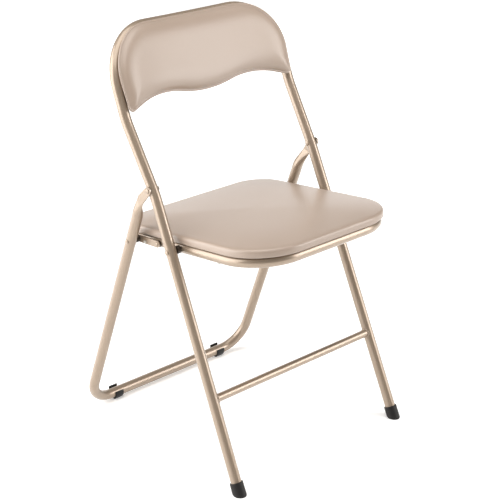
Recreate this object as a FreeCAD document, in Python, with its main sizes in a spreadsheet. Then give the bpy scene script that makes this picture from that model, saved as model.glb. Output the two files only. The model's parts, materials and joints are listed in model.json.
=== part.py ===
import FreeCAD, Part
import Sketcher
import math
import os

# Steel-tube folding chair. Millimetres, +Z up, the sitter faces -Y, +X is the sitter's left.
# The origin is on the floor under the centre of the chair's bounding box.
# The chair folds as a four-bar linkage: front frame, rear frame, seat and a pair of short links.

os.makedirs("parts", exist_ok=True)
doc = FreeCAD.newDocument("folding_chair")
Vec = FreeCAD.Vector
X_AXIS = Vec(1, 0, 0)
Z_AXIS = Vec(0, 0, 1)

# ---------------------------------------------------------------- driving dimensions
DIMENSIONS = {
    # front frame: one bent tube, seen from the side as three leaning runs
    "tube_diameter": 20.0,
    "tube_wall": 1.2,
    "foot_y": -212.65,
    "foot_half_spread": 206.7,
    "waist_half_spread": 197.9,
    "shoulder_half_spread": 200.9,
    "top_half_spread": 201.2,
    "leg_lean": 24.07,
    "waist_lean": 30.55,
    "top_lean": 20.82,
    "leg_run": 555.2,
    "waist_run": 139.2,
    "top_run": 159.6,
    "waist_bend_radius": 235.0,
    "shoulder_bend_radius": 140.0,
    "top_corner_radius": 100.0,
    "top_bow": 22.6,
    "tube_end_lift": 9.0,
    # crossbar between the front legs
    "crossbar_diameter": 15.0,
    "crossbar_run": 177.0,
    "weld_width": 2.4,
    # rear frame: a U with its bottom on the floor
    "rear_foot_y": 228.45,
    "rear_bar_height": 12.2,
    "rear_lean": 20.93,
    "rear_half_spread": 205.3,
    "rear_neck_half_spread": 203.1,
    "rear_corner_radius": 56.0,
    "neck_drop": 70.0,
    "blade_thickness": 2.4,
    "blade_inner_face": 209.0,
    "blade_end_radius": 7.4,
    "blade_root_radius": 8.6,
    "blade_root_drop": 26.0,
    "blade_root_shift": 5.5,
    # pivots
    "frame_pivot_run": 564.5,
    "seat_pivot_run": 450.7,
    "link_rear_height": 403.0,
    "link_seat_reach": 55.5,
    "rivet_diameter": 6.0,
    "rivet_clearance": 0.05,
    "rivet_head_radius": 5.0,
    "seat_rivet_head_radius": 4.5,
    "link_rivet_head_radius": 4.25,
    "rivet_head_height": 2.0,
    "rivet_head_slope": 0.62,
    # seat
    "seat_tilt": 5.9,
    "rim_diameter": 20.0,
    "rim_wall": 1.2,
    "rim_half_width": 170.8,
    "rim_front": 198.4,
    "rim_rear": 165.1,
    "rim_front_radius": 84.0,
    "rim_rear_radius": 48.0,
    "cushion_overhang": 11.0,
    "cushion_front_overhang": 15.2,
    "cushion_thickness": 16.0,
    "cushion_edge": 7.0,
    "board_thickness": 5.0,
    "board_inset": 5.0,
    "board_gap": 0.1,
    "seat_screw_front": -95.0,
    "seat_screw_rear": 105.0,
    "screw_radius": 2.0,
    "screw_clearance": 0.05,
    "screw_head_radius": 3.8,
    "screw_head_height": 2.0,
    # links
    "link_inner_face": 184.2,
    "link_thickness": 2.5,
    "link_half_width": 6.5,
    "spacer_radius": 7.0,
    "seat_spacer_radius": 7.5,
    "stop_length": 2.4,
    "stop_share": 0.6,
    # backrest
    "back_radius": 1100.0,
    "back_centre_set": -5.2,
    "back_panel_thickness": 2.5,
    "back_cushion_thickness": 17.0,
    "back_half_width": 202.0,
    "back_top": 4.0,
    "back_corner_radius": 95.0,
    "back_wrap": 4.0,
    "back_tip_drop": 149.0,
    "back_centre_drop": 139.5,
    "back_arch_across": 106.0,
    "back_arch_drop": 128.0,
    "back_turn_across": 55.0,
    "back_turn_drop": 134.0,
    "back_lobe_across": 158.0,
    "back_lobe_drop": 137.0,
    "back_tip_inset": 13.0,
    "bracket_thickness": 2.0,
    "bracket_reach": 26.0,
    "bracket_width": 22.0,
    "bracket_tuck": 11.0,
    "side_bracket_across": 181.0,
    "side_bracket_drop": 122.0,
    "top_bracket_across": 75.0,
    "top_bracket_drop": 20.0,
    # feet
    "foot_wall": 2.4,
    "foot_length": 24.0,
    "foot_below": 12.0,
    "glide_wall": 2.1,
    "glide_length": 20.0,
    "glide_offset": 137.5,
    "glide_half_sole": 6.0,
    "glide_lip_angle": 28.0,
    "glide_flank_angle": 42.0,
    "glide_tab_height": 10.5,
}

sheet = doc.addObject("Spreadsheet::Sheet", "Sizes")
for row, (alias, value) in enumerate(DIMENSIONS.items(), start=1):
    sheet.set(f"A{row}", alias)
    sheet.set(f"B{row}", str(value))
    sheet.setAlias(f"B{row}", alias)
doc.recompute()


def size(alias):
    return float(sheet.get(alias))


NODES = {}


def keep(name, obj):
    """Name a finished sub-part: its Label is the node's name."""
    obj.Label = name
    NODES[name] = obj
    return obj


# ---------------------------------------------------------------- shared geometry helpers
def lean_vector(degrees):
    """Unit vector that climbs and leans to the rear by this angle from vertical."""
    angle = math.radians(degrees)
    return Vec(0, math.sin(angle), math.cos(angle))


def at_x(point, x):
    return Vec(x, point.y, point.z)


def rounded_path(points, radii):
    """Straight runs joined by tangent arcs; radii belong to the inner points."""
    edges = []
    start = points[0]
    for before, corner, after, radius in zip(points, points[1:], points[2:], radii):
        inward = (before - corner).normalize()
        outward = (after - corner).normalize()
        half = inward.getAngle(outward) / 2
        reach = radius / math.tan(half)
        bisector = (inward + outward).normalize()
        middle = corner + bisector * (radius / math.sin(half) - radius)
        arc_start = corner + inward * reach
        arc_end = corner + outward * reach
        if start.distanceToPoint(arc_start) > 1e-4:
            edges.append(Part.makeLine(start, arc_start))
        edges.append(Part.Arc(arc_start, middle, arc_end).toShape())
        start = arc_end
    edges.append(Part.makeLine(start, points[-1]))
    return Part.Wire(edges)


def shape_object(name, shape):
    obj = doc.addObject("Part::Feature", name)
    obj.Shape = shape
    return obj


def swept_rod(name, path, radius_expression):
    """Sweep a circle, whose radius is bound to the sheet, along a path object."""
    first = path.Shape.Edges[0]
    start = first.valueAt(first.FirstParameter)
    direction = first.tangentAt(first.FirstParameter)
    circle = doc.addObject("Part::Circle", name + "_section")
    circle.setExpression("Radius", radius_expression)
    circle.Placement = FreeCAD.Placement(start, FreeCAD.Rotation(Z_AXIS, direction))
    sweep = doc.addObject("Part::Sweep", name)
    sweep.Sections = [circle]
    sweep.Spine = (path, [f"Edge{i + 1}" for i in range(len(path.Shape.Edges))])
    sweep.Solid = True
    sweep.Frenet = False
    return sweep


def cut(name, base, tool):
    obj = doc.addObject("Part::Cut", name)
    obj.Base = base
    obj.Tool = tool
    return obj


def fuse(name, shapes):
    obj = doc.addObject("Part::MultiFuse", name)
    obj.Shapes = shapes
    return obj


def compound(name, links):
    obj = doc.addObject("Part::Compound", name)
    obj.Links = links
    return obj


def mirrored(name, source):
    """The matching piece on the other side of the chair's middle plane."""
    obj = doc.addObject("Part::Mirroring", name)
    obj.Source = source
    obj.Normal = X_AXIS
    obj.Base = Vec(0, 0, 0)
    return obj


def rod(name, start, direction, radius_expression, height_expression):
    """A cylinder from a start point along a direction."""
    obj = doc.addObject("Part::Cylinder", name)
    obj.setExpression("Radius", radius_expression)
    obj.setExpression("Height", height_expression)
    obj.Placement = FreeCAD.Placement(start, FreeCAD.Rotation(Z_AXIS, direction))
    return obj


def cross_hole(name, point, radius_expression):
    """A drill right across the chair along X."""
    return rod(name, Vec(-250, point.y, point.z), X_AXIS, radius_expression, "500")


def pair(name, left):
    """Both sides of a piece that is made alike on the left and the right, as one node."""
    return keep(name, compound(name + "_pair", [left, mirrored(name + "_right", left)]))


# ---------------------------------------------------------------- key points
leg_up = lean_vector(size("leg_lean"))
waist_up = lean_vector(size("waist_lean"))
top_up = lean_vector(size("top_lean"))
top_normal = Vec(0, -top_up.z, top_up.y)

foot_centre = Vec(0, size("foot_y"), 0)
waist_centre = foot_centre + leg_up * size("leg_run")
shoulder_centre = waist_centre + waist_up * size("waist_run")
top_centre = shoulder_centre + top_up * size("top_run")


def front_half_spread(run):
    """Half the distance between the front tube's axes, at a run up the front leg."""
    low, high = size("foot_half_spread"), size("waist_half_spread")
    leg_run = size("leg_run")
    if run <= leg_run:
        return low + (high - low) * run / leg_run
    return high + (size("shoulder_half_spread") - high) * (run - leg_run) / size("waist_run")


def front_point(run):
    """A point of the left front tube's axis, at a run along it from the floor."""
    if run <= size("leg_run"):
        point = foot_centre + leg_up * run
    else:
        point = waist_centre + waist_up * (run - size("leg_run"))
    return at_x(point, front_half_spread(run))


rear_up = lean_vector(-size("rear_lean"))
rear_bar_centre = Vec(0, size("rear_foot_y"), size("rear_bar_height"))
frame_pivot = front_point(size("frame_pivot_run"))
seat_pivot = front_point(size("seat_pivot_run"))

# the rear leg's axis passes behind the frame pivot; this is its nearest point to the pivot
pivot_on_leg = rear_bar_centre + rear_up * (at_x(frame_pivot, 0) - rear_bar_centre).dot(rear_up)
toward_pivot = (at_x(frame_pivot, 0) - pivot_on_leg).normalize()
neck_centre = pivot_on_leg - rear_up * size("neck_drop")

link_rear_run = (size("link_rear_height") - rear_bar_centre.z) / rear_up.z
link_rear_pivot = rear_bar_centre + rear_up * link_rear_run

tilt = math.radians(size("seat_tilt"))
seat_back_along = Vec(0, math.cos(tilt), -math.sin(tilt))
link_seat_pivot = at_x(seat_pivot, 0) + seat_back_along * size("link_seat_reach")
SEAT_PLACE = FreeCAD.Placement(at_x(seat_pivot, 0), FreeCAD.Rotation(X_AXIS, -size("seat_tilt")))

bore_expression = "Sizes.tube_diameter / 2 - Sizes.tube_wall"
rivet_hole_expression = "Sizes.rivet_diameter / 2 + Sizes.rivet_clearance"


# ---------------------------------------------------------------- front frame
def front_path_points():
    tube_end = front_point(size("tube_end_lift"))
    waist = at_x(waist_centre, size("waist_half_spread"))
    shoulder = at_x(shoulder_centre, size("shoulder_half_spread"))
    corner = at_x(top_centre, size("top_half_spread"))
    bow_middle = top_centre - top_normal * size("top_bow")
    left = [tube_end, waist, shoulder, corner]
    right = [Vec(-p.x, p.y, p.z) for p in reversed(left)]
    return left + [bow_middle] + right


side_radii = [size("waist_bend_radius"), size("shoulder_bend_radius"), size("top_corner_radius")]
bow_half_turn = math.atan(size("top_bow") / size("top_half_spread"))
bow_reach = size("shoulder_half_spread") - size("top_corner_radius") - 1
bow_radius = bow_reach / math.tan(bow_half_turn)
front_path = shape_object("front_path",
                          rounded_path(front_path_points(), side_radii + [bow_radius] + side_radii[::-1]))
front_rod = swept_rod("front_rod", front_path, "Sizes.tube_diameter / 2")
front_bore = swept_rod("front_bore", front_path, bore_expression)
front_drills = fuse("front_drills", [
    cross_hole("frame_pivot_drill", frame_pivot, rivet_hole_expression),
    cross_hole("seat_pivot_drill", seat_pivot, rivet_hole_expression),
])
front_tube = cut("front_tube", front_rod, front_bore)
keep("front_frame", cut("front_frame_drilled", front_tube, front_drills))

# ---------------------------------------------------------------- crossbar and its welds
crossbar_point = front_point(size("crossbar_run"))
crossbar_half = front_half_spread(size("crossbar_run"))
bar_start = Vec(-crossbar_half, crossbar_point.y, crossbar_point.z)
bar_rod = rod("bar_rod", bar_start, X_AXIS, "Sizes.crossbar_diameter / 2", str(2 * crossbar_half))
bar_bore = rod("bar_bore", bar_start, X_AXIS, "Sizes.crossbar_diameter / 2 - Sizes.tube_wall",
               str(2 * crossbar_half))
bar_tube = cut("bar_tube", bar_rod, bar_bore)
keep("front_crossbar", cut("crossbar_coped", bar_tube, front_rod))

weld_cone = doc.addObject("Part::Cone", "weld_cone")
weld_cone.setExpression("Radius1", "Sizes.crossbar_diameter / 2 + Sizes.weld_width * 1.6")
weld_cone.setExpression("Radius2", "Sizes.crossbar_diameter / 2 + 0.2")
weld_cone.setExpression("Height", "Sizes.tube_diameter / 2 + Sizes.weld_width")
weld_cone.Placement = FreeCAD.Placement(Vec(crossbar_half, crossbar_point.y, crossbar_point.z),
                                        FreeCAD.Rotation(Z_AXIS, X_AXIS * -1))
weld_ring = cut("weld_ring", weld_cone, bar_rod)
pair("crossbar_welds", cut("weld_coped", weld_ring, front_rod))


# ---------------------------------------------------------------- rubber front feet
FLOOR_REACH = 60.0


def front_foot():
    """A rubber cup on the tube's end, cut level with the floor."""
    below = front_point(-size("foot_below"))
    direction = (front_point(size("crossbar_run")) - below).normalize()
    lift = size("foot_below") + size("tube_end_lift")
    outer = rod("foot_outer", below, direction, "Sizes.tube_diameter / 2 + Sizes.foot_wall",
                "Sizes.foot_below + Sizes.foot_length")
    socket = rod("foot_socket", below + direction * lift, direction, "Sizes.tube_diameter / 2 + 0.02",
                 "2 * Sizes.foot_length")
    cup = cut("foot_cup", outer, socket)
    floor = doc.addObject("Part::Box", "floor_block")
    floor.Length = 2 * FLOOR_REACH
    floor.Width = 2 * FLOOR_REACH
    floor.Height = FLOOR_REACH
    floor.Placement.Base = Vec(below.x - FLOOR_REACH, below.y - FLOOR_REACH, -FLOOR_REACH)
    return cut("foot_level", cup, floor)


left_foot = keep("front_foot_left", front_foot())
keep("front_foot_right", mirrored("front_foot_mirror", left_foot))


# ---------------------------------------------------------------- rear frame
def neck_section(drop, side_shift, x_centre, half_width, half_thickness):
    """An ellipse across the rear leg, a drop below the pivot, moved towards the pivot."""
    centre = at_x(pivot_on_leg - rear_up * drop + toward_pivot * side_shift, x_centre)
    frame = FreeCAD.Matrix(toward_pivot.x, X_AXIS.x, rear_up.x, centre.x,
                           toward_pivot.y, X_AXIS.y, rear_up.y, centre.y,
                           toward_pivot.z, X_AXIS.z, rear_up.z, centre.z, 0, 0, 0, 1)
    if half_width == half_thickness:
        curve = Part.Circle(Vec(0, 0, 0), Z_AXIS, half_width)
    else:
        curve = Part.Ellipse(Vec(0, 0, 0), half_width, half_thickness)
    wire = Part.Wire(curve.toShape())
    wire.Placement = FreeCAD.Placement(frame)
    return wire


def hull_face(centre_a, radius_a, centre_b, radius_b, x):
    """A flat outline in a plane of constant X: two round ends joined by their tangents."""
    along = (centre_b - centre_a).normalize()
    distance = centre_a.distanceToPoint(centre_b)
    swing = math.degrees(math.acos((radius_a - radius_b) / distance))
    sides = []
    for sign in (1, -1):
        normal = FreeCAD.Rotation(X_AXIS, sign * swing).multVec(along)
        sides.append((at_x(centre_a + normal * radius_a, x), at_x(centre_b + normal * radius_b, x)))
    tip_a = at_x(centre_a - along * radius_a, x)
    tip_b = at_x(centre_b + along * radius_b, x)
    (a_up, b_up), (a_down, b_down) = sides
    edges = [Part.Arc(a_up, tip_a, a_down).toShape(), Part.makeLine(a_down, b_down),
             Part.Arc(b_down, tip_b, b_up).toShape(), Part.makeLine(b_up, a_up)]
    return Part.Face(Part.Wire(edges))


def flattened_end():
    """The left end of the U: the round tube pressed flat into a blade with a round end."""
    radius = size("tube_diameter") / 2
    thickness = size("blade_thickness")
    inner = size("blade_inner_face")
    middle = inner + thickness / 2
    neck = size("rear_neck_half_spread")
    root_drop = size("blade_root_drop")
    root_shift = size("blade_root_shift")
    sections = [
        neck_section(size("neck_drop"), 0.0, neck, radius, radius),
        neck_section(54.0, 0.5, neck + 2.4, 9.6, 7.8),
        neck_section(38.0, 3.2, middle - 1.1, 9.0, 2.4),
        neck_section(root_drop - 2, root_shift, middle, 8.3, 1.05),
    ]
    loft = Part.makeLoft(sections, True, False)
    root = pivot_on_leg - rear_up * root_drop + toward_pivot * root_shift
    blade = hull_face(at_x(frame_pivot, 0), size("blade_end_radius"), root,
                      size("blade_root_radius"), inner).extrude(X_AXIS * thickness)
    return loft.fuse(blade).removeSplitter()


def rear_path_points():
    neck = at_x(neck_centre, size("rear_neck_half_spread"))
    corner = at_x(rear_bar_centre, size("rear_half_spread"))
    return [neck, corner, Vec(-corner.x, corner.y, corner.z), Vec(-neck.x, neck.y, neck.z)]


rear_path = shape_object("rear_path", rounded_path(rear_path_points(), [size("rear_corner_radius")] * 2))
rear_rod = swept_rod("rear_rod", rear_path, "Sizes.tube_diameter / 2")
rear_bore = swept_rod("rear_bore", rear_path, bore_expression)
rear_tube = cut("rear_tube", rear_rod, rear_bore)
left_blade = shape_object("left_blade", flattened_end())
rear_blank = fuse("rear_blank", [rear_tube, left_blade, mirrored("right_blade", left_blade)])
rear_drills = fuse("rear_drills", [
    cross_hole("blade_drill", frame_pivot, rivet_hole_expression),
    cross_hole("link_rear_drill", link_rear_pivot, rivet_hole_expression),
])
keep("rear_frame", cut("rear_frame_drilled", rear_blank, rear_drills))


# ---------------------------------------------------------------- PartDesign helpers
def new_body(name):
    return doc.addObject("PartDesign::Body", name)


def new_sketch(body, name, role):
    """A sketch on one of the body's own origin planes."""
    plane = next(f for f in body.Origin.OriginFeatures if f.Role == role)
    sketch = body.newObject("Sketcher::SketchObject", name)
    sketch.AttachmentSupport = [(plane, "")]
    sketch.MapMode = "FlatFace"
    return sketch


def draw_circle(sketch, x, y, radius_expression):
    """A circle at a fixed centre with its radius bound to the sheet."""
    index = sketch.addGeometry(Part.Circle(Vec(x, y, 0), Z_AXIS, 1.0), False)
    sketch.addConstraint(Sketcher.Constraint("DistanceX", -1, 1, index, 3, x))
    sketch.addConstraint(Sketcher.Constraint("DistanceY", -1, 1, index, 3, y))
    radius = sketch.addConstraint(Sketcher.Constraint("Radius", index, 1.0))
    sketch.setExpression(f"Constraints[{radius}]", radius_expression)


def draw_polygon(sketch, corners, radii):
    """A closed outline of straight runs with tangent arcs at its corners (radius 0: sharp)."""
    count = len(corners)
    spots = []
    for i, (corner, radius) in enumerate(zip(corners, radii)):
        before = corners[i - 1]
        after = corners[(i + 1) % count]
        if radius == 0:
            spots.append((corner, corner, None))
            continue
        inward = (before - corner).normalize()
        outward = (after - corner).normalize()
        half = inward.getAngle(outward) / 2
        reach = radius / math.tan(half)
        middle = corner + (inward + outward).normalize() * (radius / math.sin(half) - radius)
        spots.append((corner + inward * reach, corner + outward * reach, middle))
    for i, (arc_start, arc_end, middle) in enumerate(spots):
        if middle is not None:
            sketch.addGeometry(Part.Arc(arc_start, middle, arc_end), False)
        next_start = spots[(i + 1) % count][0]
        if arc_end.distanceToPoint(next_start) > 1e-4:
            sketch.addGeometry(Part.LineSegment(arc_end, next_start), False)


def pad(body, sketch, length_expression, name="Pad"):
    feature = body.newObject("PartDesign::Pad", name)
    feature.Profile = sketch
    feature.setExpression("Length", length_expression)
    return feature


def pocket(body, sketch, length_expression, reverse=False, name="Pocket"):
    """Cut a sketch into the body and make sure that it removed something."""
    doc.recompute()
    before = body.Shape.Volume
    feature = body.newObject("PartDesign::Pocket", name)
    feature.Profile = sketch
    feature.setExpression("Length", length_expression)
    feature.Reversed = reverse
    doc.recompute()
    if body.Shape.Volume > before - 0.1:
        raise RuntimeError(f"{body.Name}: {name} cuts nothing")
    return feature


# ---------------------------------------------------------------- glides under the rear bar
def rear_glide():
    """A plastic saddle under the floor bar: a lip in front, a tall tab behind, flat underneath."""
    body = new_body("glide_body")
    sketch = new_sketch(body, "glide_section", "YZ_Plane")
    bar = size("tube_diameter") / 2 + 0.05
    outer = bar + size("glide_wall")
    height = size("rear_bar_height")
    lip = math.radians(size("glide_lip_angle"))
    inner_front = Vec(-bar * math.cos(lip), bar * math.sin(lip), 0)
    tab = size("glide_tab_height")
    inner_rear = Vec(bar, 0, 0)
    outer_front = Vec(-outer * math.cos(lip), outer * math.sin(lip), 0)
    outer_rear = Vec(outer, 0, 0)
    flank = -math.radians(size("glide_flank_angle"))
    flank_rear = Vec(outer * math.cos(flank), outer * math.sin(flank), 0)
    flank_middle = Vec(outer * math.cos(flank / 2), outer * math.sin(flank / 2), 0)
    flank_front = Vec(-flank_rear.x, flank_rear.y, 0)
    toe_rear = Vec(size("glide_half_sole"), -height, 0)
    toe_front = Vec(-toe_rear.x, -height, 0)
    for edge in (Part.Arc(inner_front, Vec(0, -bar, 0), inner_rear),
                 Part.LineSegment(inner_rear, Vec(bar, tab, 0)),
                 Part.LineSegment(Vec(bar, tab, 0), Vec(outer, tab, 0)),
                 Part.LineSegment(Vec(outer, tab, 0), outer_rear),
                 Part.Arc(outer_rear, flank_middle, flank_rear),
                 Part.LineSegment(flank_rear, toe_rear),
                 Part.LineSegment(toe_rear, toe_front),
                 Part.LineSegment(toe_front, flank_front),
                 Part.Arc(flank_front, Vec(-outer, 0, 0), outer_front),
                 Part.LineSegment(outer_front, inner_front)):
        sketch.addGeometry(edge, False)
    pad(body, sketch, "Sizes.glide_length")
    body.Placement.Base = rear_bar_centre + X_AXIS * (size("glide_offset") - size("glide_length") / 2)
    return body


left_glide = keep("rear_glide_left", rear_glide())
keep("rear_glide_right", mirrored("rear_glide_mirror", left_glide))


# ---------------------------------------------------------------- rivets, washers and spacers
def rivet(name, point, tail_x, head_x, head_radius="Sizes.rivet_head_radius"):
    """A rivet along X: shank from tail_x to head_x, with a cone-edged head past each end."""
    shank = rod(name + "_shank", Vec(tail_x, point.y, point.z), X_AXIS, "Sizes.rivet_diameter / 2",
                str(head_x - tail_x))
    heads = []
    for suffix, x, direction in (("head", head_x, 1), ("tail", tail_x, -1)):
        cone = doc.addObject("Part::Cone", f"{name}_{suffix}")
        cone.setExpression("Radius1", head_radius)
        cone.setExpression("Radius2", head_radius + " * Sizes.rivet_head_slope")
        cone.setExpression("Height", "Sizes.rivet_head_height")
        cone.Placement = FreeCAD.Placement(Vec(x, point.y, point.z),
                                           FreeCAD.Rotation(Z_AXIS, X_AXIS * direction))
        heads.append(cone)
    return fuse(name, [shank] + heads)


def sleeve(name, point, start_x, end_x, radius_expression):
    """A ring along X with a rivet hole: a washer when short, a spacer when long."""
    start = Vec(start_x, point.y, point.z)
    outer = rod(name + "_outer", start, X_AXIS, radius_expression, str(end_x - start_x))
    hole = rod(name + "_hole", start, X_AXIS, rivet_hole_expression, str(end_x - start_x))
    return cut(name, outer, hole)


tube_radius = size("tube_diameter") / 2
link_face = size("link_inner_face")
link_outer_face = link_face + size("link_thickness")
rim_outer_face = size("rim_half_width") + size("rim_diameter") / 2
rim_inner_face = size("rim_half_width") - size("rim_diameter") / 2
blade_outer_face = size("blade_inner_face") + size("blade_thickness")
neck_run = (neck_centre - rear_bar_centre).dot(rear_up)
rear_taper = size("rear_half_spread") - size("rear_neck_half_spread")
rear_axis_x = size("rear_half_spread") - rear_taper * link_rear_run / neck_run

pair("frame_pivot_rivets", rivet("frame_rivet", frame_pivot, frame_pivot.x - tube_radius - 0.05,
                                 blade_outer_face + 0.1))
pair("frame_pivot_washers", sleeve("frame_washer", frame_pivot, frame_pivot.x + tube_radius + 0.25,
                                   size("blade_inner_face") - 0.1, "Sizes.spacer_radius"))
pair("seat_pivot_rivets", rivet("seat_rivet", seat_pivot, rim_inner_face - 0.1,
                                seat_pivot.x + tube_radius + 0.1, "Sizes.seat_rivet_head_radius"))
pair("seat_pivot_spacers", sleeve("seat_spacer", seat_pivot, rim_outer_face + 0.3,
                                  seat_pivot.x - tube_radius - 0.2, "Sizes.seat_spacer_radius"))
pair("link_rear_rivets", rivet("link_rear_rivet", link_rear_pivot, link_face - 0.2,
                               rear_axis_x + tube_radius + 0.05, "Sizes.link_rivet_head_radius"))
pair("link_spacers", sleeve("link_spacer", link_rear_pivot, link_outer_face + 0.3,
                            rear_axis_x - tube_radius - 0.2, "Sizes.spacer_radius"))
pair("link_seat_washers", sleeve("link_washer", link_seat_pivot, rim_outer_face + 0.05,
                                 link_face - 0.3, "Sizes.link_half_width"))


# ---------------------------------------------------------------- links
link_span = link_rear_pivot - link_seat_pivot
link_length = link_span.Length
LINK_PLACE = FreeCAD.Placement(at_x(link_seat_pivot, link_face),
                               FreeCAD.Rotation(Vec(0, 1, 0), link_span))


def link_strap():
    """A flat steel link with round ends, a hole at the rear and one at the seat."""
    body = new_body("strap_body")
    sketch = new_sketch(body, "strap_outline", "YZ_Plane")
    half = size("link_half_width")
    sketch.addGeometry(Part.LineSegment(Vec(0, half, 0), Vec(link_length, half, 0)), False)
    sketch.addGeometry(Part.Arc(Vec(link_length, half, 0), Vec(link_length + half, 0, 0),
                                Vec(link_length, -half, 0)), False)
    sketch.addGeometry(Part.LineSegment(Vec(link_length, -half, 0), Vec(0, -half, 0)), False)
    sketch.addGeometry(Part.Arc(Vec(0, -half, 0), Vec(-half, 0, 0), Vec(0, half, 0)), False)
    draw_circle(sketch, link_length, 0, rivet_hole_expression)
    draw_circle(sketch, 0, 0, rivet_hole_expression)
    pad(body, sketch, "Sizes.link_thickness")
    body.Placement = LINK_PLACE
    return body


STOP_DROP = 2.4


def link_stop():
    """The stop stud that stands out of the link."""
    stud = rod("stop_stud", Vec(0, 0, 0), X_AXIS, "Sizes.rivet_diameter / 2", "Sizes.stop_length")
    spot = link_seat_pivot + link_span * size("stop_share") - Z_AXIS * STOP_DROP
    stud.Placement.Base = at_x(spot, link_outer_face)
    return stud


def link_rivet():
    """The rivet at the link's seat end; its shank stops at the link's inner face."""
    shank = rod("link_rivet_shank", at_x(link_seat_pivot, link_face), X_AXIS,
                "Sizes.rivet_diameter / 2", "Sizes.link_thickness")
    head = doc.addObject("Part::Cone", "link_rivet_head")
    head.setExpression("Radius1", "Sizes.link_rivet_head_radius")
    head.setExpression("Radius2", "Sizes.link_rivet_head_radius * Sizes.rivet_head_slope")
    head.setExpression("Height", "Sizes.rivet_head_height")
    head.Placement = FreeCAD.Placement(at_x(link_seat_pivot, link_outer_face),
                                       FreeCAD.Rotation(Z_AXIS, X_AXIS))
    return fuse("link_rivet", [shank, head])


for part_name, builder in (("link_strap", link_strap), ("link_stop", link_stop),
                           ("link_rivet", link_rivet)):
    left_piece = keep(part_name + "_left", builder())
    keep(part_name + "_right", mirrored(part_name + "_mirror", left_piece))


# ---------------------------------------------------------------- seat
def seat_outline(sketch, growth, front_growth):
    """The seat's rounded outline, grown outwards from the rim tube's axis."""
    half = size("rim_half_width") + growth
    front = -size("rim_front") - front_growth
    rear = size("rim_rear") + growth
    corners = [Vec(-half, front, 0), Vec(half, front, 0), Vec(half, rear, 0), Vec(-half, rear, 0)]
    front_radius = size("rim_front_radius") + growth
    rear_radius = size("rim_rear_radius") + growth
    draw_polygon(sketch, corners, [front_radius, front_radius, rear_radius, rear_radius])


screw_spots = [Vec(side * size("rim_half_width"), size(row), 0)
               for side in (-1, 1) for row in ("seat_screw_front", "seat_screw_rear")]
screw_hole_expression = "Sizes.screw_radius + Sizes.screw_clearance"


def seat_rim():
    """A closed ring of round tube that carries the seat."""
    body = new_body("rim_body")
    path = new_sketch(body, "rim_path", "XY_Plane")
    seat_outline(path, 0, 0)
    doc.recompute()
    wall_line = size("rim_half_width")
    for kind, name, radius_expression in (
            ("PartDesign::AdditivePipe", "rim_ring", "Sizes.rim_diameter / 2"),
            ("PartDesign::SubtractivePipe", "rim_bore", "Sizes.rim_diameter / 2 - Sizes.rim_wall")):
        section = new_sketch(body, name + "_section", "XZ_Plane")
        draw_circle(section, wall_line, 0, radius_expression)
        pipe = body.newObject(kind, name)
        pipe.Profile = section
        pipe.Spine = path
        doc.recompute()
    pivot_sketch = new_sketch(body, "rim_pivot_holes", "YZ_Plane")
    draw_circle(pivot_sketch, 0, 0, rivet_hole_expression)
    for reverse in (False, True):
        pocket(body, pivot_sketch, "250", reverse, f"pivot_hole_{int(reverse)}")
    screw_sketch = new_sketch(body, "rim_screw_holes", "XY_Plane")
    for spot in screw_spots:
        draw_circle(screw_sketch, spot.x, spot.y, screw_hole_expression)
    for reverse in (False, True):
        pocket(body, screw_sketch, "20", reverse, f"screw_hole_{int(reverse)}")
    body.Placement = SEAT_PLACE
    return body


board_height = size("rim_diameter") / 2 + size("board_gap")
board_growth = size("cushion_overhang") - size("board_inset")
board_front_growth = size("cushion_front_overhang") - size("board_inset")


def seat_board():
    """The hardboard panel inside the upholstery, screwed down to the rim."""
    body = new_body("board_body")
    sketch = new_sketch(body, "board_outline", "XY_Plane")
    seat_outline(sketch, board_growth, board_front_growth)
    for spot in screw_spots:
        draw_circle(sketch, spot.x, spot.y, screw_hole_expression)
    pad(body, sketch, "Sizes.board_thickness")
    body.Placement = SEAT_PLACE.multiply(FreeCAD.Placement(Vec(0, 0, board_height), FreeCAD.Rotation()))
    return body


def seat_cushion():
    """Foam and vinyl over the board; the board lies in a recess underneath."""
    body = new_body("cushion_body")
    outline = new_sketch(body, "cushion_outline", "XY_Plane")
    seat_outline(outline, size("cushion_overhang"), size("cushion_front_overhang"))
    pad(body, outline, "Sizes.cushion_thickness")
    recess = new_sketch(body, "board_recess", "XY_Plane")
    seat_outline(recess, board_growth + size("board_gap"), board_front_growth + size("board_gap"))
    pocket(body, recess, "Sizes.board_thickness + Sizes.board_gap", True)
    top_edges = [f"Edge{i + 1}" for i, edge in enumerate(body.Shape.Edges)
                 if edge.BoundBox.ZMin > size("cushion_thickness") - 0.1]
    base = body.Tip
    fillet = body.newObject("PartDesign::Fillet", "soft_edge")
    fillet.Base = (base, top_edges)
    fillet.setExpression("Radius", "Sizes.cushion_edge")
    body.Placement = SEAT_PLACE.multiply(FreeCAD.Placement(Vec(0, 0, board_height), FreeCAD.Rotation()))
    return body


def seat_screw(name, spot):
    """A screw from under the rim, through the tube and into the board."""
    head_bottom = -size("rim_diameter") / 2 - size("screw_head_height") - 0.1
    head = rod(name + "_head", spot + Z_AXIS * head_bottom, Z_AXIS, "Sizes.screw_head_radius",
               "Sizes.screw_head_height")
    shank = rod(name + "_shank", spot + Z_AXIS * (head_bottom + 1), Z_AXIS, "Sizes.screw_radius",
                "Sizes.rim_diameter + 1.2 + Sizes.board_thickness")
    screw = fuse(name, [head, shank])
    screw.Placement = SEAT_PLACE
    return screw


keep("seat_rim", seat_rim())
keep("seat_board", seat_board())
keep("seat_cushion", seat_cushion())
keep("seat_screws", compound("seat_screw_set",
                             [seat_screw(f"seat_screw_{i}", spot) for i, spot in enumerate(screw_spots)]))

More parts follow.
